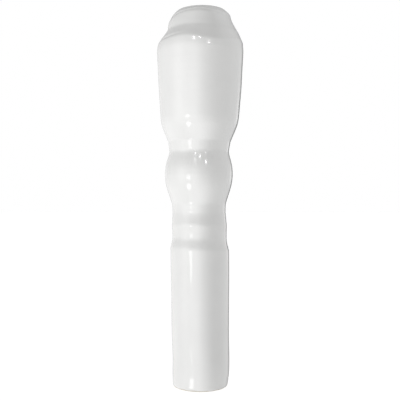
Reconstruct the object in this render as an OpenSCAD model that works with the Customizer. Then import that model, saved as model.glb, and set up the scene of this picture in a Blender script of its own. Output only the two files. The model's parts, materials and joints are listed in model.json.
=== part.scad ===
// Indoor support insulator: a turned and glazed porcelain post with a tapped steel insert
// cemented into a blind pocket at each end. The origin is the centre of the foot, +Z is up.

/* [Overall] */
// Height from the foot to the face of the top insert
total_h = 210; // [206:1:225]
// How far the top insert stands above the porcelain
proud = 0.5; // [0:0.1:0.8]

/* [Shank] */
// Diameter across the foot, before its edge is rounded
foot_d = 30.4; // [29.5:0.1:31]
// Diameter just above the foot
shank_low_d = 31.4; // [31.1:0.1:32]
// Diameter under the upper shoulder of the shank
shank_top_d = 32.7; // [32:0.1:34]
// Height of the shank
shank_h = 77; // [75:0.5:79]

/* [Waist and ball] */
// Diameter of the groove above the shank
groove_d = 30; // [29.5:0.1:31]
// Diameter of the low bead above the groove
bead_d = 30.6; // [30.4:0.1:31.4]
// Diameter of the waist under the ball
waist_d = 29.5; // [28.5:0.1:30.2]
// Diameter of the ball, where its two flanks would meet
ball_d = 40.4; // [40:0.1:43]
// Height of the middle of the ball
ball_h = 117.5; // [116:0.5:119]

/* [Neck and barrel] */
// Diameter of the neck between the ball and the barrel
neck_d = 33; // [31:0.1:34]
// Height of the neck
neck_h = 130.3; // [129:0.1:131.5]
// Diameter of the lip at the bottom of the barrel
lip_d = 34.8; // [34.2:0.1:36.5]
// Largest diameter of the barrel
barrel_d = 48.3; // [47:0.1:51]
// Height of the shoulder on top of the barrel
shoulder_h = 190.8; // [189:0.1:192]

/* [Crown] */
// Diameter at the bottom of the cove between the shoulder and the crown
cove_d = 38.6; // [37:0.1:40]
// Diameter of the crown's rim
rim_d = 33; // [32:0.1:34.5]
// Diameter of the flat top
top_d = 25.4; // [24.5:0.1:27]

/* [Base fitting] */
// Diameter of the tapped hole under the thread's crests, M12
base_tap_d = 10.2; // [9.8:0.1:10.6]
// Length of the base insert
base_insert_l = 36; // [30:0.5:38]
// Width of the base insert's hexagon across its flats
base_flats = 17; // [15.5:0.1:17.5]
// Diameter of the base insert's collar
base_collar_d = 18.6; // [17.6:0.1:19.4]
// Diameter of the pocket in the foot
base_pocket_d = 22.6; // [21.5:0.1:23]

/* [Top fitting] */
// Diameter of the tapped hole under the thread's crests, M10
top_tap_d = 8.5; // [8.2:0.1:8.9]
// Length of the top insert
top_insert_l = 28; // [24:0.5:30]
// Width of the top insert's hexagon across its flats
top_flats = 14; // [13:0.1:14.5]
// Diameter of the top insert's collar
top_collar_d = 15.4; // [14.6:0.1:16]
// Diameter of the pocket in the crown
top_pocket_d = 19; // [18:0.1:19.4]

/* [Small parts] */
// Thickness of the cork disc at the bottom of each pocket
cushion_t = 2.5; // [1.5:0.1:3]
// Thickness of the disc that closes each insert
plug_t = 1.5; // [1:0.1:2]
// Thickness of the sealing ring at each mouth
seal_t = 2.5; // [2:0.1:3]

/* [Hidden] */
$fn = 96;
arc_step = 6;           // turn between neighbouring points on an arc, in degrees
overshoot = 1;          // how far a cutter runs past the face that it opens

body_h = total_h - proud;
seal_sink = 0.3;        // the sealing ring lies this far inside the mouth
mouth_chamfer = 0.6;    // chamfer around each pocket's mouth

// Grooves that key the cement into the wall of a pocket
key_count = 3;
key_w = 3;
key_depth = 0.6;

// Collar, grip grooves and end recess of an insert
collar_t = proud + seal_sink + seal_t + 0.4;    // a little past the sealing ring
grip_count = 2;
grip_w = 2.4;
grip_depth = 0.9;
thread_chamfer = 1;     // countersink at the mouth of the tapped hole
plug_lap = 1.1;         // the closing disc's recess is this much wider than the tapped hole

glaze = "#f2f2ef";
zinc = "#9fa5a9";
zinc_disc = "#85898c";
grout = "#b9b3a6";
cork = "#b98a5a";
bitumen = "#26272a";

// Heights of the outline's corners, above or below the driving ones
foot_taper_h = 7;
groove_rise = 5.2;      // above the shank
bead_rise = 13;         // above the shank
waist_drop = 20.3;      // below the ball
flare_drop = 16;        // below the ball
lip_rise = 5.9;         // above the neck
belly_low_rise = 16;    // above the neck
belly_high_rise = 36.7; // above the neck
barrel_drop = 4.3;      // below the shoulder
cove_rise = 7.2;        // above the shoulder
rim_drop = 3.2;         // below the top

// Diameters of the outline's corners that follow from the driving ones
flare_d = waist_d + 0.4;
belly_low_d = 0.895 * barrel_d;
belly_high_d = 0.96 * barrel_d;
shoulder_d = barrel_d - 1;

// Corners of the porcelain's outline, from foot to top: radius, height, rounding
corners = [
    [0, 0, 0],
    [foot_d / 2, 0, 1.4],
    [shank_low_d / 2, foot_taper_h, 8],
    [shank_top_d / 2, shank_h, 9],
    [groove_d / 2, shank_h + groove_rise, 9],
    [bead_d / 2, shank_h + bead_rise, 9],
    [waist_d / 2, ball_h - waist_drop, 8],
    [flare_d / 2, ball_h - flare_drop, 6],
    [ball_d / 2, ball_h, 28],
    [neck_d / 2, neck_h, 5],
    [lip_d / 2, neck_h + lip_rise, 1],
    [belly_low_d / 2, neck_h + belly_low_rise, 22],
    [belly_high_d / 2, neck_h + belly_high_rise, 80],
    [barrel_d / 2, shoulder_h - barrel_drop, 8],
    [shoulder_d / 2, shoulder_h, 2],
    [cove_d / 2, shoulder_h + cove_rise, 3],
    [rim_d / 2, body_h - rim_drop, 1.2],
    [top_d / 2, body_h, 1.5],
    [0, body_h, 0]
];

function unit(v) = v / norm(v);

// Points of the arc that rounds corner b, between its neighbours a and c
function rounded(a, b, c, radius) =
    let (u = unit(a - b),
         v = unit(c - b),
         half = acos(u * v) / 2,
         centre = b + unit(u + v) * radius / sin(half),
         first = b + u * radius / tan(half) - centre,
         turn = sign(cross(u, v)) * (2 * half - 180),
         start = atan2(first[1], first[0]),
         steps = max(2, ceil(abs(turn) / arc_step)))
    [for (i = [0:steps])
        centre + radius * [cos(start + turn * i / steps), sin(start + turn * i / steps)]];

function flat(corner) = [corner[0], corner[1]];

function outline(list) = [
    for (i = [0:len(list) - 1])
        for (point = list[i][2] == 0
                 ? [flat(list[i])]
                 : rounded(flat(list[i - 1]), flat(list[i]), flat(list[i + 1]), list[i][2]))
            point
];

// ---- pieces of a fitting, each with its mouth at z = 0 and its inner end upwards

// Half section of a plain pocket with a chamfered mouth
module mouth_section(radius, depth) {
    translate([0, -overshoot])
        square([radius, depth + overshoot]);
    polygon([[0, -overshoot], [radius + mouth_chamfer + overshoot, -overshoot],
             [radius, mouth_chamfer]]);
}

// The same with the grooves that key the cement
module pocket_section(radius, depth) {
    pitch = (depth - cushion_t - seal_t) / key_count;
    mouth_section(radius, depth);
    for (i = [0:key_count - 1])
        translate([0, seal_t + pitch * (i + 0.5) - key_w / 2])
            square([radius + key_depth, key_w]);
}

// Outside of an insert: a round collar and a hexagon with turned grip grooves
module insert_blank(flats, collar_d, length) {
    hexagon_r = flats / 2 / cos(30);
    pitch = (length - collar_t) / (grip_count + 1);
    cylinder(r = collar_d / 2, h = collar_t);
    difference() {
        translate([0, 0, collar_t])
            cylinder(r = hexagon_r, h = length - collar_t, $fn = 6);
        for (i = [1:grip_count])
            translate([0, 0, collar_t + pitch * i - grip_w / 2])
                rotate_extrude()
                    translate([flats / 2 - grip_depth, 0])
                        square([hexagon_r, grip_w]);
    }
}

// Tapped insert, countersunk at its mouth and recessed for the closing disc at its inner end
module insert(flats, collar_d, length, tap_d) {
    difference() {
        insert_blank(flats, collar_d, length);
        translate([0, 0, -overshoot])
            cylinder(r = tap_d / 2, h = length + 2 * overshoot);
        cylinder(r1 = tap_d / 2 + thread_chamfer, r2 = tap_d / 2, h = thread_chamfer);
        translate([0, 0, length - plug_t])
            cylinder(r = tap_d / 2 + plug_lap, h = plug_t + overshoot);
    }
}

// Disc pressed into the recess in the insert's inner end
module plug(length, tap_d) {
    translate([0, 0, length - plug_t])
        cylinder(r = tap_d / 2 + plug_lap, h = plug_t);
}

// Cement between the insert and the pocket, from the sealing ring to the cushion.
// inset is how far the insert's face stands outside the porcelain.
module cement(flats, collar_d, length, pocket_d, inset) {
    difference() {
        rotate_extrude()
            intersection() {
                pocket_section(pocket_d / 2, length - inset + cushion_t);
                translate([0, seal_sink + seal_t])
                    square([pocket_d, length - inset - seal_sink - seal_t]);
            }
        translate([0, 0, -inset])
            insert_blank(flats, collar_d, length);
    }
}

// Disc between the bottom of the pocket and the insert
module cushion(length, pocket_d, inset) {
    translate([0, 0, length - inset])
        cylinder(r = pocket_d / 2, h = cushion_t);
}

// Ring that seals the joint at the mouth, around the insert's collar
module seal(collar_d, pocket_d) {
    difference() {
        rotate_extrude()
            intersection() {
                mouth_section(pocket_d / 2, seal_sink + seal_t);
                translate([0, seal_sink])
                    square([pocket_d, seal_t]);
            }
        translate([0, 0, -overshoot])
            cylinder(r = collar_d / 2, h = seal_t + 2 * overshoot);
    }
}

// ---- sub-parts

module porcelain_body() {
    color(glaze)
        rotate_extrude()
            difference() {
                polygon(outline(corners));
                pocket_section(base_pocket_d / 2, base_insert_l + cushion_t);
                translate([0, body_h])
                    mirror([0, 1])
                        pocket_section(top_pocket_d / 2, top_insert_l - proud + cushion_t);
            }
}

module base_insert() {
    color(zinc) insert(base_flats, base_collar_d, base_insert_l, base_tap_d);
}

module base_insert_plug() {
    color(zinc_disc) plug(base_insert_l, base_tap_d);
}

module base_cement() {
    color(grout) cement(base_flats, base_collar_d, base_insert_l, base_pocket_d, 0);
}

module base_cushion() {
    color(cork) cushion(base_insert_l, base_pocket_d, 0);
}

module base_seal() {
    color(bitumen) seal(base_collar_d, base_pocket_d);
}

// Turns a fitting over, so that its mouth is in the plane of the porcelain's top
module at_top() {
    translate([0, 0, body_h])
        mirror([0, 0, 1])
            children();
}

module top_insert() {
    color(zinc) at_top() translate([0, 0, -proud])
        insert(top_flats, top_collar_d, top_insert_l, top_tap_d);
}

module top_insert_plug() {
    color(zinc_disc) at_top() translate([0, 0, -proud])
        plug(top_insert_l, top_tap_d);
}

module top_cement() {
    color(grout) at_top()
        cement(top_flats, top_collar_d, top_insert_l, top_pocket_d, proud);
}

module top_cushion() {
    color(cork) at_top()
        cushion(top_insert_l, top_pocket_d, proud);
}

module top_seal() {
    color(bitumen) at_top()
        seal(top_collar_d, top_pocket_d);
}

porcelain_body();
base_insert();
base_insert_plug();
base_cement();
base_cushion();
base_seal();
top_insert();
top_insert_plug();
top_cement();
top_cushion();
top_seal();
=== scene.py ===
"""A turned porcelain support insulator: the looks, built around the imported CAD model.

Everything is in metres. The porcelain, the tapped inserts and the small parts of each joint are
meshes of rings around +Z, and their sizes are read from the frame.
"""

import json
import math

import bmesh
import bpy
import numpy as np
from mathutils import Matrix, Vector, noise


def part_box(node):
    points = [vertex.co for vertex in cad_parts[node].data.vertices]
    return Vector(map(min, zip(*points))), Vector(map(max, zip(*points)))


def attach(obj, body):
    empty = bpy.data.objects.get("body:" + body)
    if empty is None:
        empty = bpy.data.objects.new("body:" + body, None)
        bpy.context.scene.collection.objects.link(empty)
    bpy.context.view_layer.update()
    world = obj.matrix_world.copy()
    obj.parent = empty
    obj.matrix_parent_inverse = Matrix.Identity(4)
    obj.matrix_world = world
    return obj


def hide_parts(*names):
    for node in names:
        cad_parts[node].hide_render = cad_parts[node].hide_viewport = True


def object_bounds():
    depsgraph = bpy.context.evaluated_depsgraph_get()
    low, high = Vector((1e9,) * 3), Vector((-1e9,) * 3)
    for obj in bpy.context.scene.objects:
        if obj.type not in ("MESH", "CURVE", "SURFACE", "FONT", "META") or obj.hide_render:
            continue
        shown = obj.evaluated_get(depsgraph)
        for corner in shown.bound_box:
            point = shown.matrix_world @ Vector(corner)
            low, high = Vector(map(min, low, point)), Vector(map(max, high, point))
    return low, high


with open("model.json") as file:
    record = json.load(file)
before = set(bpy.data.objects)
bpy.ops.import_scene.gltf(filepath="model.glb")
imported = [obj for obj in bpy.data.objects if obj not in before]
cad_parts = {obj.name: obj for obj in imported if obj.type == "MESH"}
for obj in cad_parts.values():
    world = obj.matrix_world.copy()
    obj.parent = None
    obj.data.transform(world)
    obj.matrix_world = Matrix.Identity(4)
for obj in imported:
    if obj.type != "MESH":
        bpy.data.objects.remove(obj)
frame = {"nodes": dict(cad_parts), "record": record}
CAD_BOX = [list(corner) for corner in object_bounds()]

MM = 0.001
BODY = "root"
SAME_CIRCLE = 0.03 * MM       # radii of CAD circles that differ by less count as equal
WELD = 0.0005 * MM            # points of neighbouring skins are joined within this distance
SLIVER = 0.0002 * MM          # shorter edges are dissolved
MOUNTS = {mount["name"]: mount for mount in frame["record"]["mounts"]}
COLOURS = {slot["slot"]: slot["base_color"] for slot in frame["record"]["materials"]}


# ---------------------------------------------------------------- reading the frame

def cad_rings(node):
    """The circles of a turned CAD node, as rows of (radius, z), lowest first."""
    vertices = frame["nodes"][node].data.vertices
    points = np.empty(len(vertices) * 3)
    vertices.foreach_get("co", points)
    points = points.reshape(-1, 3)
    rows = np.column_stack([np.hypot(points[:, 0], points[:, 1]), points[:, 2]])
    grain = 0.01 * MM
    rows = np.unique(np.round(rows / grain).astype(int), axis=0) * grain
    return rows[np.argsort(rows[:, 1], kind="stable")]


def heights_at(node, radius):
    """The heights at which a CAD node has a circle of that radius, lowest first."""
    rows = cad_rings(node)
    return np.unique(rows[np.abs(rows[:, 0] - radius) < SAME_CIRCLE, 1])


def heights(node):
    """The lowest and the highest z of a CAD node."""
    low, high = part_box(node)
    return low[2], high[2]


def width(node, axis):
    """Half the extent of a CAD node along X (0) or Y (1)."""
    low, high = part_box(node)
    return (high[axis] - low[axis]) / 2


# ---------------------------------------------------------------- building meshes

def angles(count):
    """Angles of that many points, spaced evenly round a ring from +X."""
    return np.arange(count) * 2 * math.pi / count


def ring(z, radius, count, shift=0.0):
    """One ring of points. z, radius and shift may be numbers or one value per point."""
    turn = angles(count)
    points = np.empty((count, 3))
    points[:, 0] = radius * np.cos(turn) + shift
    points[:, 1] = radius * np.sin(turn)
    points[:, 2] = z
    return points


def skin(rings, looped=False):
    """Points and quads of a skin over rings with equal counts. Looped, it joins last to first."""
    count = len(rings[0])
    spans = len(rings) if looped else len(rings) - 1
    quads = []
    for i in range(spans):
        low = i * count
        high = (i + 1) % len(rings) * count
        for j in range(count):
            k = (j + 1) % count
            quads.append((low + j, low + k, high + k, high + j))
    return np.concatenate(rings), quads


def turned_skin(profile, count):
    """A skin over a list of (radius, z) around +Z, where either may be one value per point."""
    return skin([ring(z, radius, count) for radius, z in profile])


def make_piece(name, parts, sharp_degrees=35.0, place=None):
    """One closed mesh object from several (points, quads) skins that share their edges."""
    points = np.concatenate([part[0] for part in parts])
    if place is not None:
        points = place(points)
    faces = []
    start = 0
    for part_points, quads in parts:
        faces += [tuple(start + i for i in quad) for quad in quads]
        start += len(part_points)
    mesh = bpy.data.meshes.new(name)
    mesh.from_pydata(points.tolist(), [], faces)
    work = bmesh.new()
    work.from_mesh(mesh)
    bmesh.ops.remove_doubles(work, verts=work.verts, dist=WELD)
    bmesh.ops.dissolve_degenerate(work, edges=work.edges, dist=SLIVER)
    bmesh.ops.recalc_face_normals(work, faces=work.faces)
    if work.calc_volume(signed=True) < 0:
        bmesh.ops.reverse_faces(work, faces=work.faces)
    work.to_mesh(mesh)
    work.free()
    mesh.shade_smooth()
    mesh.set_sharp_from_angle(angle=math.radians(sharp_degrees))
    piece = bpy.data.objects.new(name, mesh)
    bpy.context.scene.collection.objects.link(piece)
    return piece


def hand_over(piece, material, node):
    """Gives the piece its material and lets it stand for a CAD node."""
    piece.data.materials.append(material)
    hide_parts(node)
    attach(piece, BODY)


def evenly(points, step):
    """An open line of (radius, z) points, spaced anew by about step all along."""
    lengths = np.concatenate([[0.0], np.cumsum(np.hypot(*np.diff(points, axis=0).T))])
    count = max(2, int(round(lengths[-1] / step)) + 1)
    at = np.linspace(0.0, lengths[-1], count)
    return np.column_stack([np.interp(at, lengths, points[:, i]) for i in (0, 1)])


def softened(points, reach):
    """Blurs an evenly spaced line along its length, and keeps both of its ends."""
    step = np.hypot(*(points[1] - points[0]))
    half = int(math.ceil(3 * reach / step))
    weights = np.exp(-0.5 * (np.arange(-half, half + 1) * step / reach) ** 2)
    weights /= weights.sum()
    columns = []
    for column in points.T:
        before = 2 * column[0] - column[half:0:-1]
        after = 2 * column[-1] - column[-2:-half - 2:-1]
        columns.append(np.convolve(np.concatenate([before, column, after]), weights, "valid"))
    return np.column_stack(columns)


def smooth_step(value):
    """Goes smoothly from 0 to 1 as the value goes from 0 to 1."""
    value = np.clip(value, 0.0, 1.0)
    return value * value * (3 - 2 * value)


def bell(value, middle, spread):
    """A bump of height 1 around middle."""
    return np.exp(-((value - middle) / spread) ** 2)


def noise_around(count, z, lumps, rise, seed):
    """Smooth noise on a ring: about lumps features around it, each rise high."""
    turn = angles(count)
    return np.array([
        noise.noise(Vector((lumps / 3 * math.cos(a) + seed, lumps / 3 * math.sin(a), z / rise)))
        for a in turn
    ])


# ---------------------------------------------------------------- the porcelain

PORCELAIN_COUNT = 208
OUTLINE_STEP = 0.58 * MM
GLAZE_SOFTENING = 0.5 * MM    # molten glaze rounds every edge of the turned clay
MOUTH_CHAMFER = 0.6 * MM
GLAZE_START = 0.9 * MM        # the foot is bare up to here
FOOT_TRUE = 4 * MM            # the foot is ground true: its unevenness grows over this height

# Where the axis of the fired porcelain has moved along X. In mm: shift, height and reach.
BOW = (-0.8, 112, 34)
SHOULDER_SHIFT = (0.5, 195, 5)
SHANK_SHIFT = (0.45, 14, 11)  # just over the foot
FOOT_HELD = 7 * MM            # the foot's face hasn't moved, and the shank is free from here up
CROWN_SHIFT = 0.1 * MM
CROWN_START = 188 * MM        # the crown's shift grows from here
CROWN_GROWTH = 16 * MM        # over this height

CROWN_TILT = 0.3 * MM         # how much the crown's top edge rises on the right
TILT_START = 203 * MM         # the tilt grows from here
TILT_GROWTH = 5 * MM          # over this height

# Waves of the turned edges, up and down. Each edge has a height and a reach in mm, and bumps of
# a rise in mm towards an azimuth, with a spread, in degrees.
WAVES = [
    (190.5, 5.0, [(1.1, -26, 24), (-1.4, 20, 26), (0.6, 150, 40), (-0.5, -130, 30)]),   # shoulder
    (205.5, 2.2, [(0.9, -5, 35), (-1.1, -75, 30), (0.4, 130, 40), (-0.8, 50, 30)]),     # rim
    (78.5, 6.0, [(0.5, -60, 50), (-1.6, 75, 45), (0.6, 170, 40)]),                # shank's step
]

# Swellings, and creases where the amount is negative: amount in mm, azimuth and spread in degrees,
# height and reach in mm
SWELLINGS = [
    (-0.55, -52, 26, 191.6, 0.8),     # crease over the shoulder, where the tool was lifted
    (-0.55, -15, 60, 205.9, 0.62),    # crease at the crown's rim
    (-0.12, -45, 50, 136.6, 0.7),     # crease under the barrel
    (0.5, 95, 45, 207.8, 2.2),        # the crown is fuller on its right
    (0.3, -5, 55, 90, 2.6),           # the bead stands out more in front than at the sides
    (-0.2, -5, 55, 96, 2.6),          # and the groove over it is deeper there
]


def porcelain_outline():
    """The outside of the porcelain, from the edge of the flat foot to the edge of the flat top."""
    rows = cad_rings("porcelain_body")
    middle = heights("porcelain_body")[1] / 2
    gap = 0.2 * MM
    pocket = np.where(rows[:, 1] < middle, width("base_cement", 1), width("top_cement", 1))
    outline = rows[rows[:, 0] > pocket + gap]
    return softened(evenly(outline, OUTLINE_STEP), GLAZE_SOFTENING)


def keyed_wall(radius, key_radius, steps):
    """(radius, z) along a wall that steps out to its key radius, and back, at each height."""
    profile = []
    inner = radius
    for z in steps:
        outer = key_radius if inner == radius else radius
        profile += [(inner, z), (outer, z)]
        inner = outer
    return profile


def pocket_wall(cement, cushion, mouth_z, inwards):
    """(radius, z) from the middle of a pocket's bottom, past its keying grooves, to its mouth."""
    radius = width(cushion, 1)
    key_radius = width(cement, 1)
    bottom_z = heights(cushion)[1] if inwards > 0 else heights(cushion)[0]
    profile = [(0.0, bottom_z), (radius / 2, bottom_z), (radius, bottom_z)]
    steps = heights_at(cement, key_radius)
    profile += keyed_wall(radius, key_radius, steps[::-1] if inwards > 0 else steps)
    profile.append((radius, mouth_z + inwards * MOUTH_CHAMFER))
    profile.append((radius + MOUTH_CHAMFER, mouth_z))
    return profile


def kiln_shift(z):
    """How far the axis of the fired porcelain has moved along X at one height."""
    bow, shoulder, shank = [amount * MM * bell(z, middle * MM, reach * MM)
                            for amount, middle, reach in (BOW, SHOULDER_SHIFT, SHANK_SHIFT)]
    crown = CROWN_SHIFT * smooth_step((z - CROWN_START) / CROWN_GROWTH)
    return bow + crown + shoulder + shank * smooth_step(z / FOOT_HELD)


def towards(azimuth, spread):
    """A bump around a ring, in degrees. Azimuth 0 faces the camera, and 90 is to its right."""
    away = np.mod(np.degrees(angles(PORCELAIN_COUNT)) + 90 - azimuth + 180, 360) - 180
    return bell(away, 0.0, spread)


def porcelain_rise(z):
    """How far one ring of the porcelain wanders up and down as it goes round."""
    tilt = CROWN_TILT * smooth_step((z - TILT_START) / TILT_GROWTH)
    rise = tilt * np.cos(angles(PORCELAIN_COUNT))
    for middle, reach, bumps in WAVES:
        wave = sum(height * MM * towards(azimuth, spread) for height, azimuth, spread in bumps)
        rise += wave * bell(z, middle * MM, reach * MM)
    return rise


def porcelain_radius(radius, z):
    """The radius around one ring, with the small unevenness of a piece turned and dipped by hand."""
    turn = angles(PORCELAIN_COUNT)
    oval = 0.07 * MM * np.cos(2 * turn + 0.6 + z / (90 * MM))
    lumps = 0.07 * MM * noise_around(PORCELAIN_COUNT, z, 3, 14 * MM, 4.0)
    turning = 0.012 * MM * math.sin(z / (0.62 * MM)) * bell(z, 160 * MM, 40 * MM)
    # the glaze filled the cove on one side
    cove = 0.65 * MM * np.cos(turn) * bell(z, 197.5 * MM, 3.4 * MM)
    uneven = radius + oval + lumps + turning + cove
    for amount, azimuth, spread, middle, reach in SWELLINGS:
        uneven += amount * MM * towards(azimuth, spread) * bell(z, middle * MM, reach * MM)
    return uneven


def make_porcelain():
    """The uneven outside of the porcelain, with a true pocket in each end."""
    outline = porcelain_outline()
    foot_z = outline[0, 1]
    top_z = outline[-1, 1]
    base_mouth = pocket_wall("base_cement", "base_cushion", foot_z, 1)
    top_mouth = pocket_wall("top_cement", "top_cushion", top_z, -1)
    outside = [ring(foot_z, base_mouth[-1][0], PORCELAIN_COUNT)]
    for radius, z in outline:
        free = float(smooth_step((z - foot_z) / FOOT_TRUE))
        uneven = radius + free * (porcelain_radius(radius, z) - radius)
        outside.append(ring(z + porcelain_rise(z), uneven, PORCELAIN_COUNT, kiln_shift(z)))
    outside.append(ring(top_z, top_mouth[-1][0], PORCELAIN_COUNT))
    parts = [
        turned_skin(base_mouth, PORCELAIN_COUNT),
        skin(outside),
        turned_skin(top_mouth[::-1], PORCELAIN_COUNT),
    ]
    return make_piece("porcelain", parts, sharp_degrees=50.0)


# ---------------------------------------------------------------- the steel inserts

INSERT_COUNT = 144
DISC_COUNT = 72
EDGE = 0.3 * MM               # bevel on the turned edges of an insert
RUNOUT = 0.7                  # share of a pitch over which the thread fades at both ends

# One turn of an ISO internal thread: share of the pitch, share of the depth
THREAD_SHAPE = [(0, 0), (0.125, 0), (0.25, 0), (0.40625, 0.5), (0.5625, 1), (0.625, 1),
                (0.6875, 1), (0.84375, 0.5)]


class Insert:
    """Sizes of one insert, measured inwards from its mouth."""

    def __init__(self, side, pitch, major_diameter):
        node = side + "_insert"
        thread = MOUNTS[side + "_thread"]
        self.side = side
        self.node = node
        self.low, self.high = heights(node)
        self.length = self.high - self.low
        self.pitch = pitch
        self.root_radius = major_diameter / 2
        self.tap_radius = thread["dims"]["r_mm"] * MM
        self.collar_radius = width(node, 1)
        self.flats = 2 * width(node, 0) * math.cos(math.pi / 6)
        self.collar = max(self.inwards(z) for z in heights_at(node, self.collar_radius))
        plug_low, plug_high = heights(node + "_plug")
        self.plug_radius = width(node + "_plug", 1)
        self.plug_start = self.length - (plug_high - plug_low)
        self.thread_start = self.plug_start - thread["dims"]["length_mm"] * MM
        self.mouth_radius = self.tap_radius + self.thread_start   # the countersink, at 45 degrees
        radii = np.unique(cad_rings(node)[:, 0])
        self.grip_radius = min(r for r in radii if r > self.plug_radius + EDGE)
        self.grips = sorted(self.inwards(z) for z in heights_at(node, self.grip_radius))

    def inwards(self, z):
        """How far inside the insert's mouth a height of the part lies."""
        return z - self.low if self.side == "base" else self.high - z

    def place(self, points):
        """From the insert's own frame, mouth at z = 0, to the part's. The top one is turned over."""
        if self.side == "base":
            return points + [0, 0, self.low]
        return points * [1, -1, -1] + [0, 0, self.high]

    def hexagon(self):
        """The radius of the hexagon at each point of a ring."""
        turn = np.mod(angles(INSERT_COUNT), math.pi / 3) - math.pi / 6
        return self.flats / 2 / np.cos(turn)

    def outside(self, bevel):
        """(radius, z) over the collar and the hexagon, from the mouth to the inner end."""
        hexagon = self.hexagon()
        round_bar = np.minimum(hexagon, self.flats / 2)
        blunt = np.minimum(hexagon, self.flats / 2 + 2 * bevel)
        profile = [
            (self.collar_radius - bevel, 0.0),
            (self.collar_radius, bevel),
            (self.collar_radius, self.collar - bevel),
            (self.collar_radius - bevel, self.collar),
            (blunt, self.collar),
            (hexagon, self.collar + 2 * bevel),
        ]
        for start, end in zip(self.grips[::2], self.grips[1::2]):
            profile += [
                (hexagon, start - bevel),
                (round_bar, start),
                (self.grip_radius, start + bevel),
                (self.grip_radius, end - bevel),
                (round_bar, end),
                (hexagon, end + bevel),
            ]
        profile += [
            (hexagon, self.length - 2 * bevel),
            (blunt - bevel, self.length),
        ]
        return profile


def thread_skin(insert):
    """A right-hand internal thread: a grid whose rows climb one pitch per turn."""
    start, end = insert.thread_start, insert.plug_start
    rows = len(THREAD_SHAPE)
    turns = int(math.ceil((end - start) / insert.pitch)) + 2
    climb = np.array([turn + share for turn in range(turns) for share, _ in THREAD_SHAPE])
    depth = np.array([part for _ in range(turns) for _, part in THREAD_SHAPE])
    around = angles(INSERT_COUNT) / (2 * math.pi)
    z = np.clip(start + insert.pitch * (climb[:, None] - 1 + around), start, end)
    runout = RUNOUT * insert.pitch
    fade = smooth_step((z - start) / runout) * smooth_step((end - z) / runout)
    radius = insert.tap_radius + (insert.root_radius - insert.tap_radius) * depth[:, None] * fade
    points = np.concatenate([ring(z[i], radius[i], INSERT_COUNT) for i in range(len(climb))])
    last = len(climb) - 1
    quads = []
    for i in range(last):
        for j in range(INSERT_COUNT):
            if j + 1 < INSERT_COUNT:
                low, high = i * INSERT_COUNT + j + 1, (i + 1) * INSERT_COUNT + j + 1
            else:
                low = min(i + rows, last) * INSERT_COUNT
                high = min(i + 1 + rows, last) * INSERT_COUNT
            quads.append((i * INSERT_COUNT + j, low, high, (i + 1) * INSERT_COUNT + j))
    return points, quads


def make_insert(insert):
    """A tapped steel insert: its outside with the countersink, and the thread."""
    body = [
        (insert.tap_radius, insert.thread_start),
        (insert.mouth_radius, 0.0),
        ((insert.mouth_radius + insert.collar_radius) / 2, 0.0),
    ]
    body += insert.outside(EDGE)
    body += [
        (insert.plug_radius + EDGE, insert.length),
        (insert.plug_radius, insert.length - EDGE),
        (insert.plug_radius, insert.plug_start),
        (insert.tap_radius, insert.plug_start),
    ]
    parts = [turned_skin(body, INSERT_COUNT), thread_skin(insert)]
    name = insert.side + "_threaded_insert"
    return make_piece(name, parts, sharp_degrees=28.0, place=insert.place)


def make_plug(insert):
    """A stamped disc with rolled edges and a shallow dimple where the punch pressed it in."""
    low, high = insert.plug_start, insert.length
    radius = insert.plug_radius
    edge = 0.25 * MM
    hollow = 0.1 * MM
    dent = 0.3 * MM
    dimple = 0.35 * radius
    profile = [
        (0.0, low + hollow), (dimple, low + hollow), (dimple + edge, low),
        (radius - edge, low), (radius, low + edge),
        (radius, high - edge), (radius - edge, high),
        (dimple + 2 * edge, high), (dimple, high - edge), (0.0, high - dent),
    ]
    name = insert.side + "_closing_disc"
    parts = [turned_skin(profile, DISC_COUNT)]
    return make_piece(name, parts, sharp_degrees=40.0, place=insert.place)


# ---------------------------------------------------------------- cement, cork and bitumen

CAST_EDGE = 0.01 * MM         # the cement takes up the insert's shape with nearly sharp edges
CORK_COUNT = 120
SEAL_COUNT = 160


def make_cement(insert):
    """The cast between the pocket's wall and the insert."""
    cement = insert.side + "_cement"
    wall = width(insert.side + "_cushion", 1)
    key_radius = width(cement, 1)
    start, end = sorted(insert.inwards(z) for z in heights(cement))
    steps = sorted(insert.inwards(z) for z in heights_at(cement, key_radius))
    outer = [(wall, start)] + keyed_wall(wall, key_radius, steps) + [(wall, end)]
    inner = [(insert.collar_radius, start)]
    inner += [(radius, z) for radius, z in insert.outside(CAST_EDGE) if z > start]
    inner = [(radius, min(z, end)) for radius, z in inner]
    rings = [ring(z, radius, INSERT_COUNT) for radius, z in outer + inner[::-1]]
    return make_piece(insert.side + "_cement_cast", [skin(rings, looped=True)], place=insert.place)


def make_cork(insert):
    """A punched cork disc: crumbled edges and a grainy face."""
    node = insert.side + "_cushion"
    radius = width(node, 1)
    low, high = heights(node)
    middle = (low + high) / 2
    edge = 0.35 * MM
    grain_depth = 0.09 * MM
    grain_size = 0.9 * MM
    radii = np.linspace(0.0, radius - edge, 16)
    profile = [(r, low) for r in radii]
    profile += [(radius, low + edge), (radius, middle), (radius, high - edge)]
    profile += [(r, high) for r in radii[::-1]]
    rings = []
    for r, z in profile:
        grains_around = 3000 * r + 1
        seed = 7.0 * r / MM
        grain = noise_around(CORK_COUNT, z + r, grains_around, grain_size, seed)
        worn = grain_depth * np.abs(grain) * (r > 0)
        rings.append(ring(z - math.copysign(1, z - middle) * worn, r - worn, CORK_COUNT))
    return make_piece(insert.side + "_cork_disc", [skin(rings)], sharp_degrees=60.0)


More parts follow.
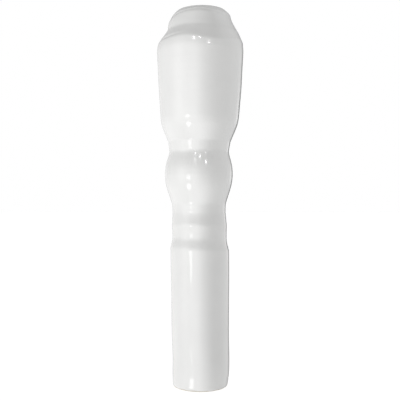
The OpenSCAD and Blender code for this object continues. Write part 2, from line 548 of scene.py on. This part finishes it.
def make_seal(insert):
    """Poured bitumen that has crept a little up both walls of the gap."""
    node = insert.side + "_seal"
    start, end = sorted(insert.inwards(z) for z in heights(node))
    outer = width(node, 1)
    wall = width(insert.side + "_cushion", 1)
    inner = insert.collar_radius
    sag_depth = 0.32 * MM
    lump_height = 0.07 * MM
    rings = []
    for share in np.linspace(0.0, 1.0, 9):
        free = math.sin(math.pi * share)   # bitumen sticks to both walls
        sag = sag_depth * free ** 0.7
        lumps = lump_height * noise_around(SEAL_COUNT, share * MM, 14, 1.5 * MM, 2.0) * free
        rings.append(ring(start + sag + np.abs(lumps), inner + share * (outer - inner), SEAL_COUNT))
    rings += [ring(z, radius, SEAL_COUNT) for radius, z in
              [(wall, start + outer - wall), (wall, end), (inner, end)]]
    name = insert.side + "_bitumen_seal"
    return make_piece(name, [skin(rings, looped=True)], sharp_degrees=50.0, place=insert.place)


# ---------------------------------------------------------------- materials

class Nodes:
    """A material under construction."""

    def __init__(self, name):
        self.material = bpy.data.materials.new(name)
        self.material.use_nodes = True
        self.tree = self.material.node_tree
        self.tree.nodes.clear()
        self.place = self.add("ShaderNodeTexCoord").outputs["Object"]
        parts = self.add("ShaderNodeSeparateXYZ", {"Vector": self.place})
        self.x, self.y, self.z = parts.outputs

    def add(self, kind, inputs=None, **settings):
        """A new node. Each input is a constant or another node's output."""
        node = self.tree.nodes.new(kind)
        for key, value in settings.items():
            setattr(node, key, value)
        for key, value in (inputs or {}).items():
            socket = node.inputs[key]
            if isinstance(value, bpy.types.NodeSocket):
                self.tree.links.new(value, socket)
            else:
                socket.default_value = value
        return node

    def maths(self, operation, *values):
        return self.add("ShaderNodeMath", dict(enumerate(values)), operation=operation).outputs[0]

    def noise(self, size, detail=2.0, rough=0.5, place=None, distortion=0.0):
        """Noise whose features are about size across."""
        inputs = {"Vector": place or self.place, "Scale": 1 / size, "Detail": detail,
                  "Roughness": rough, "Distortion": distortion}
        return self.add("ShaderNodeTexNoise", inputs).outputs["Fac"]

    def cells(self, size, feature="F1", output="Distance"):
        """Grains that are about size across."""
        inputs = {"Vector": self.place, "Scale": 1 / size}
        return self.add("ShaderNodeTexVoronoi", inputs, feature=feature).outputs[output]

    def stretched(self, x, y, z):
        """The place, scaled along each axis. A scale below 1 draws features out."""
        return self.add("ShaderNodeMapping", {"Vector": self.place, "Scale": (x, y, z)}).outputs[0]

    def rescale(self, value, low, high, new_low=0.0, new_high=1.0):
        """Goes smoothly from new_low to new_high as value goes from low to high."""
        inputs = {"Value": value, "From Min": low, "From Max": high,
                  "To Min": new_low, "To Max": new_high}
        return self.add("ShaderNodeMapRange", inputs, interpolation_type="SMOOTHSTEP").outputs[0]

    def blend(self, share, first, second):
        """Colour that goes from first to second as share goes from 0 to 1."""
        node = self.add("ShaderNodeMix", data_type="RGBA")
        for socket, value in ((node.inputs[0], share), (node.inputs[6], first),
                              (node.inputs[7], second)):
            if isinstance(value, bpy.types.NodeSocket):
                self.tree.links.new(value, socket)
            elif isinstance(value, (int, float)):
                socket.default_value = value
            else:
                socket.default_value = tuple(value)[:3] + (1.0,)
        return node.outputs[2]

    def axis_distance(self):
        """How far a place is from the part's axis."""
        squares = self.maths("ADD", self.maths("MULTIPLY", self.x, self.x),
                             self.maths("MULTIPLY", self.y, self.y))
        return self.maths("SQRT", squares)

    def bump(self, height, distance, strength=1.0, below=None):
        """A bumped normal, where distance is how high the bumps are. It can lie over another."""
        inputs = {"Height": height, "Distance": distance, "Strength": strength}
        if below is not None:
            inputs["Normal"] = below
        return self.add("ShaderNodeBump", inputs).outputs[0]

    def finish(self, **inputs):
        """The finished material. Inputs are the shader's, with _ for each space."""
        names = {key.replace("_", " "): value for key, value in inputs.items()}
        shader = self.add("ShaderNodeBsdfPrincipled", names)
        self.add("ShaderNodeOutputMaterial", {"Surface": shader.outputs[0]})
        return self.material


# Colours that only the looks have. The record's slots give the others.
RUST_SPECK = (0.45, 0.40, 0.34)
DARK_CLAY = (0.60, 0.56, 0.49)
LIGHT_CLAY = (0.80, 0.77, 0.71)
CLAY_STAIN = (0.42, 0.37, 0.31)
YELLOW_TINGE = (0.70, 0.69, 0.62)
BLUE_TINGE = (0.56, 0.61, 0.68)
ZINC_BLOOM = (0.80, 0.80, 0.78)
# darkens the thread towards its roots
THREAD_ROOT_TONE = (0.17, 0.15, 0.13)
DULL_ZINC = (0.45, 0.44, 0.42)
SAND = (0.36, 0.33, 0.29)
CORK_SEAM = (0.12, 0.06, 0.03)
CEMENT_DUST = (0.42, 0.40, 0.37)


def scaled(colour, factor):
    return tuple(min(1.0, channel * factor) for channel in colour[:3])


def porcelain_material(name, base_mouth, top_mouth):
    """White glaze over porcelain. The foot ring and the pockets are bare, fired clay."""
    m = Nodes(name)
    white = COLOURS["glazed_porcelain"]
    # where the glaze is: above a wavering line at the foot, and outside both pockets
    between_pockets = 100 * MM
    wavering = 0.35 * MM
    fade = 0.15 * MM
    wander = m.rescale(m.noise(5 * MM), 0.3, 0.7, -wavering, wavering)
    above = m.rescale(m.maths("ADD", m.z, wander), GLAZE_START - fade, GLAZE_START + fade)
    lower_half = m.maths("LESS_THAN", m.z, between_pockets)
    pocket = m.maths("MULTIPLY_ADD", lower_half, base_mouth - top_mouth, top_mouth)
    outside = m.maths("GREATER_THAN", m.axis_distance(), pocket)
    glazed = m.maths("MULTIPLY", above, outside)

    cloud = m.noise(22 * MM, 3.0)
    glaze = m.blend(m.rescale(cloud, 0.35, 0.65), scaled(white, 0.905), scaled(white, 0.93))
    specks = m.rescale(m.noise(0.8 * MM, 1.0), 0.80, 0.86)
    glaze = m.blend(m.maths("MULTIPLY", specks, 0.25), glaze, RUST_SPECK)
    grit = m.noise(0.5 * MM, 4.0, 0.7)
    clay = m.blend(grit, DARK_CLAY, LIGHT_CLAY)
    stain = m.rescale(m.noise(6 * MM, 3.0), 0.5, 0.75)
    clay = m.blend(m.maths("MULTIPLY", stain, 0.4), clay, CLAY_STAIN)
    colour = m.blend(glazed, clay, glaze)

    peel = m.noise(3.2 * MM, 1.5)
    flow = m.noise(9 * MM, 1.0, place=m.stretched(1, 1, 0.45))
    smooth = m.bump(flow, 0.10 * MM, 0.6)
    smooth = m.bump(peel, 0.03 * MM, 0.6, smooth)
    coarse = m.maths("MULTIPLY", grit, m.maths("SUBTRACT", 1.0, glazed))
    surface = m.bump(coarse, 0.12 * MM, 1.0, smooth)
    gloss = m.rescale(m.noise(14 * MM, 3.0), 0.3, 0.7, 0.16, 0.22)
    roughness = m.maths("MULTIPLY_ADD", m.maths("SUBTRACT", 1.0, glazed), 0.6, gloss)
    return m.finish(Base_Color=colour, Roughness=roughness, Normal=surface, IOR=1.5,
                    Coat_Weight=m.maths("MULTIPLY", glazed, 0.9), Coat_Roughness=0.035,
                    Coat_IOR=1.5, Coat_Normal=smooth)


def steel_material(name, insert):
    """Zinc-plated, turned steel: a satin plate with a faint iridescent passivation."""
    m = Nodes(name)
    base = COLOURS["zinc_plated_steel"]
    tint = m.noise(7 * MM, 2.0, distortion=0.6)
    plate = m.blend(m.rescale(tint, 0.42, 0.6), scaled(base, 0.93), YELLOW_TINGE)
    plate = m.blend(m.rescale(m.noise(5 * MM, 2.0), 0.5, 0.7), plate, BLUE_TINGE)
    bloom = m.rescale(m.noise(2.2 * MM, 5.0, 0.65), 0.58, 0.72)
    plate = m.blend(m.maths("MULTIPLY", bloom, 0.35), plate, ZINC_BLOOM)
    # the thread is darker towards its roots, behind the crests
    distance = m.axis_distance()
    depth = m.rescale(distance, insert.tap_radius + 0.1 * MM, insert.root_radius)
    in_thread = m.maths("LESS_THAN", distance, insert.root_radius + 0.02 * MM)
    deep = m.maths("MULTIPLY", depth, in_thread)
    plate = m.blend(m.maths("MULTIPLY", deep, 0.55), plate, THREAD_ROOT_TONE)
    # and the faces show the fine rings that the lathe left
    feed = 0.22 * MM
    turning = m.maths("SINE", m.maths("MULTIPLY", distance, 2 * math.pi / feed))
    tool = m.maths("MULTIPLY", turning, m.rescale(m.noise(4 * MM), 0.3, 0.7, 0.3, 1.0))
    surface = m.bump(tool, 0.006 * MM, 0.8)
    surface = m.bump(m.noise(0.35 * MM, 3.0), 0.012 * MM, 0.7, surface)
    roughness = m.rescale(m.noise(3 * MM, 3.0), 0.3, 0.7, 0.28, 0.42)
    roughness = m.maths("MULTIPLY_ADD", bloom, 0.15, roughness)
    return m.finish(Base_Color=plate, Metallic=1.0, Roughness=roughness, Normal=surface)


def disc_material(name):
    """Stamped zinc-plated sheet, duller than the insert and scratched by the punch."""
    m = Nodes(name)
    base = COLOURS["closing_disc"]
    scratches = m.noise(0.6 * MM, 3.0, place=m.stretched(1, 0.05, 1))
    colour = m.blend(m.rescale(scratches, 0.4, 0.65), scaled(base, 0.75), scaled(base, 1.02))
    colour = m.blend(m.rescale(m.noise(2 * MM, 3.0), 0.5, 0.75), colour, DULL_ZINC)
    surface = m.bump(scratches, 0.01 * MM, 0.8)
    roughness = m.rescale(scratches, 0.3, 0.7, 0.34, 0.52)
    return m.finish(Base_Color=colour, Metallic=1.0, Roughness=roughness, Normal=surface)


def cement_material(name):
    """Set Portland cement with fine sand and air pits."""
    m = Nodes(name)
    base = COLOURS["portland_cement"]
    cloud = m.noise(4 * MM, 5.0, 0.65)
    colour = m.blend(m.rescale(cloud, 0.35, 0.65), scaled(base, 0.78), scaled(base, 1.12))
    grains = m.rescale(m.cells(0.5 * MM), 0.12, 0.3, 1.0, 0.0)
    colour = m.blend(m.maths("MULTIPLY", grains, 0.5), colour, SAND)
    pits = m.rescale(m.cells(1.7 * MM), 0.10, 0.22)
    surface = m.bump(m.noise(0.4 * MM, 5.0, 0.7), 0.06 * MM, 0.9)
    surface = m.bump(pits, 0.18 * MM, 0.9, surface)
    roughness = m.rescale(cloud, 0.3, 0.7, 0.82, 0.95)
    return m.finish(Base_Color=colour, Roughness=roughness, Normal=surface)


def cork_material(name):
    """Agglomerated cork: brown granules, each of its own shade, with dark seams between them."""
    m = Nodes(name)
    base = COLOURS["cork"]
    granule = 1.1 * MM
    own_colour = m.cells(granule, output="Color")
    shade = m.add("ShaderNodeSeparateXYZ", {"Vector": own_colour}).outputs[0]
    colour = m.blend(shade, scaled(base, 0.62), scaled(base, 1.25))
    seams = m.rescale(m.cells(granule, "DISTANCE_TO_EDGE"), 0.02, 0.10, 1.0, 0.0)
    colour = m.blend(m.maths("MULTIPLY", seams, 0.7), colour, CORK_SEAM)
    fibre = m.noise(0.3 * MM, 4.0)
    surface = m.bump(seams, 0.10 * MM, -0.8)
    surface = m.bump(fibre, 0.04 * MM, 0.8, surface)
    roughness = m.rescale(fibre, 0.3, 0.7, 0.78, 0.95)
    return m.finish(Base_Color=colour, Roughness=roughness, Normal=surface)


def bitumen_material(name):
    """Black bitumen with a dull skin, dusted with cement where it was poured."""
    m = Nodes(name)
    base = COLOURS["bitumen"]
    skin_noise = m.noise(1.6 * MM, 4.0, 0.6)
    colour = m.blend(m.rescale(skin_noise, 0.4, 0.7), scaled(base, 0.8), scaled(base, 2.2))
    dust = m.rescale(m.noise(0.9 * MM, 5.0, 0.7), 0.60, 0.72)
    colour = m.blend(m.maths("MULTIPLY", dust, 0.35), colour, CEMENT_DUST)
    surface = m.bump(m.noise(2.4 * MM, 2.0), 0.12 * MM, 0.7)
    surface = m.bump(m.noise(0.4 * MM, 3.0), 0.02 * MM, 0.6, surface)
    roughness = m.maths("ADD", m.rescale(skin_noise, 0.3, 0.7, 0.30, 0.48),
                        m.maths("MULTIPLY", dust, 0.3))
    return m.finish(Base_Color=colour, Roughness=roughness, Normal=surface)


# ---------------------------------------------------------------- the object

INSERTS = [
    Insert("base", pitch=1.75 * MM, major_diameter=12 * MM),
    Insert("top", pitch=1.5 * MM, major_diameter=10 * MM),
]


def build_object():
    """Every piece of the part, each in the place of its CAD node."""
    # the glaze starts just outside the mouths' chamfers
    mouths = [width(insert.side + "_cushion", 1) + MOUTH_CHAMFER + 0.05 * MM for insert in INSERTS]
    hand_over(make_porcelain(), porcelain_material("porcelain", *mouths),
              "porcelain_body")
    discs = disc_material("zinc_disc")
    cements = cement_material("cement")
    corks = cork_material("cork")
    seals = bitumen_material("bitumen")
    for insert in INSERTS:
        side = insert.side
        hand_over(make_insert(insert), steel_material(side + "_zinc_steel", insert),
                  insert.node)
        hand_over(make_plug(insert), discs, side + "_insert_plug")
        hand_over(make_cement(insert), cements, side + "_cement")
        hand_over(make_cork(insert), corks, side + "_cushion")
        hand_over(make_seal(insert), seals, side + "_seal")


# ---------------------------------------------------------------- studio

HEIGHT = CAD_BOX[1][2]
CAMERA_HEIGHT = 0.494 * HEIGHT
CAMERA_DISTANCE = 1.969 * HEIGHT
CAMERA_SIDE = -0.1 * MM
CAMERA_LENS = 66.6            # mm
CAMERA_SENSOR = 36.0          # mm


def aim(azimuth, elevation):
    """Unit vector towards a light. Azimuth 0 is at the camera, and 90 is to its right."""
    turn, rise = math.radians(azimuth), math.radians(elevation)
    return Vector((math.sin(turn) * math.cos(rise), -math.cos(turn) * math.cos(rise),
                   math.sin(rise)))


# Soft light of the room, as broad lobes: azimuth, elevation, sharpness, strength
SOFT_LIGHTS = [
    (-17, -3, 12.7, 1.40),    # window in front, to the left
    (-57, 2, 11.3, 1.50),     # its neighbour, further round
    (1, -47, 4.5, 1.53),      # the white table under both
    (-3, 41, 9.4, 0.80),      # a bright patch high on the wall behind the camera
    (-122, -17, 2.2, 1.07),   # fill from behind, on the left
    (115, -17, 3.6, 0.80),    # fill from behind, on the right
    (98, 39, 9.0, 0.42),      # the same, higher
    (131, 53, 1.2, 0.63),     # pale ceiling, far back
    (-158, 0, 30.0, 0.28),    # the backdrop, as the left edge mirrors it
    (144, 0, 90.0, 0.90),     # and the bright line inside the right edge
    (14, 55, 9.4, -1.50),     # the dark ceiling over the camera takes light away
    (46, -12, 40.0, -0.45),   # so does whoever stands to the right of the camera
]
# A dark flag, given the same way, which draws the thin dark line down the right edge
FLAG = (166, 0, 20.0, 1.0)


def build_world():
    """The room's soft light. The camera itself sees a plain white backdrop."""
    world = bpy.data.worlds.new("studio")
    bpy.context.scene.world = world
    world.use_nodes = True
    tree = world.node_tree
    tree.nodes.clear()
    direction = tree.nodes.new("ShaderNodeTexCoord").outputs["Generated"]

    def maths(operation, first, second):
        node = tree.nodes.new("ShaderNodeMath")
        node.operation = operation
        for socket, value in zip(node.inputs, (first, second)):
            if isinstance(value, bpy.types.NodeSocket):
                tree.links.new(value, socket)
            else:
                socket.default_value = value
        return node.outputs[0]

    def lobe(azimuth, elevation, sharpness, strength):
        """Strength times the cosine of the angle from the lobe's middle, to the power of sharpness."""
        dot = tree.nodes.new("ShaderNodeVectorMath")
        dot.operation = "DOT_PRODUCT"
        tree.links.new(direction, dot.inputs[0])
        dot.inputs[1].default_value = aim(azimuth, elevation)
        facing = maths("MAXIMUM", dot.outputs["Value"], 0.0)
        return maths("MULTIPLY", maths("POWER", facing, sharpness), strength)

    light = 0.0
    for soft in SOFT_LIGHTS:
        light = maths("ADD", lobe(*soft), light)
    light = maths("MAXIMUM", light, 0.0)
    light = maths("MULTIPLY", light, maths("SUBTRACT", 1.0, lobe(*FLAG)))
    path = tree.nodes.new("ShaderNodeLightPath")
    seen = path.outputs["Is Camera Ray"]
    strength = maths("ADD", maths("MULTIPLY", seen, maths("SUBTRACT", 1.0, light)), light)
    background = tree.nodes.new("ShaderNodeBackground")
    background.inputs["Color"].default_value = (1, 1, 1, 1)
    tree.links.new(strength, background.inputs["Strength"])
    output = tree.nodes.new("ShaderNodeOutputWorld")
    tree.links.new(background.outputs[0], output.inputs["Surface"])


LAMP_DISTANCE = 0.8           # metres, from the middle of the part

# Softboxes that show as spots in the glaze: azimuth, elevation, width and height in degrees, radiance
LAMPS = {
    "window_low": (-37, -26, 15, 12, 2.8),
    "window_side": (-36, -6, 14, 9, 2.6),
    "sparkle_0": (-16, 33, 2.5, 2.5, 80.0),
    "sparkle_1": (2, 38, 2.5, 2.5, 80.0),
    "sparkle_2": (24, 28, 2.5, 2.5, 80.0),
}


def add_lamp(name, azimuth, elevation, wide, tall, radiance):
    """An elliptical softbox that faces the middle of the part."""
    lamp = bpy.data.lights.new(name, "AREA")
    lamp.shape = "ELLIPSE"
    lamp.size = 2 * LAMP_DISTANCE * math.tan(math.radians(wide) / 2)
    lamp.size_y = 2 * LAMP_DISTANCE * math.tan(math.radians(tall) / 2)
    area = math.pi / 4 * lamp.size * lamp.size_y
    lamp.energy = radiance * math.pi * area
    holder = bpy.data.objects.new(name, lamp)
    bpy.context.scene.collection.objects.link(holder)
    middle = Vector((0, 0, HEIGHT / 2))
    holder.location = middle + aim(azimuth, elevation) * LAMP_DISTANCE
    holder.rotation_euler = (middle - holder.location).to_track_quat("-Z", "Y").to_euler()


def build_lamps():
    for name, settings in LAMPS.items():
        add_lamp(name, *settings)


FLOOR_REACH = 6.0             # metres each way
FLOOR_Z = -0.02 * MM          # just under the foot
FLOOR_GLOW = 0.62             # brings the floor near the backdrop's white
FLOOR_GREY = (0.9, 0.9, 0.9, 1)


def build_floor():
    """A plain, pale floor."""
    mesh = bpy.data.meshes.new("floor")
    corners = [(-1, -1), (1, -1), (1, 1), (-1, 1)]
    points = [(x * FLOOR_REACH, y * FLOOR_REACH, FLOOR_Z) for x, y in corners]
    mesh.from_pydata(points, [], [(0, 1, 2, 3)])
    floor = bpy.data.objects.new("floor", mesh)
    bpy.context.scene.collection.objects.link(floor)
    material = bpy.data.materials.new("floor")
    material.use_nodes = True
    shader = material.node_tree.nodes["Principled BSDF"]
    shader.inputs["Base Color"].default_value = FLOOR_GREY
    shader.inputs["Roughness"].default_value = 0.9
    shader.inputs["Emission Color"].default_value = (1, 1, 1, 1)
    shader.inputs["Emission Strength"].default_value = FLOOR_GLOW
    mesh.materials.append(material)
    # from underneath, the floor is clear, so that the foot can be seen
    tree = material.node_tree
    side = tree.nodes.new("ShaderNodeNewGeometry")
    clear = tree.nodes.new("ShaderNodeBsdfTransparent")
    mix = tree.nodes.new("ShaderNodeMixShader")
    tree.links.new(side.outputs["Backfacing"], mix.inputs[0])
    tree.links.new(shader.outputs[0], mix.inputs[1])
    tree.links.new(clear.outputs[0], mix.inputs[2])
    tree.links.new(mix.outputs[0], tree.nodes["Material Output"].inputs["Surface"])
    # the floor stands for a white table: it catches the shadow, and lets the room's light by
    floor.visible_shadow = False
    floor.visible_diffuse = False
    floor.visible_glossy = False


def build_camera():
    camera = bpy.data.cameras.new("camera")
    camera.lens = CAMERA_LENS
    camera.sensor_width = CAMERA_SENSOR
    holder = bpy.data.objects.new("camera", camera)
    bpy.context.scene.collection.objects.link(holder)
    holder.location = (CAMERA_SIDE, -CAMERA_DISTANCE, CAMERA_HEIGHT)
    holder.rotation_euler = (math.pi / 2, 0, 0)
    bpy.context.scene.camera = holder


build_object()
build_world()
build_lamps()
build_floor()
build_camera()
bpy.context.scene.view_settings.view_transform = "Standard"
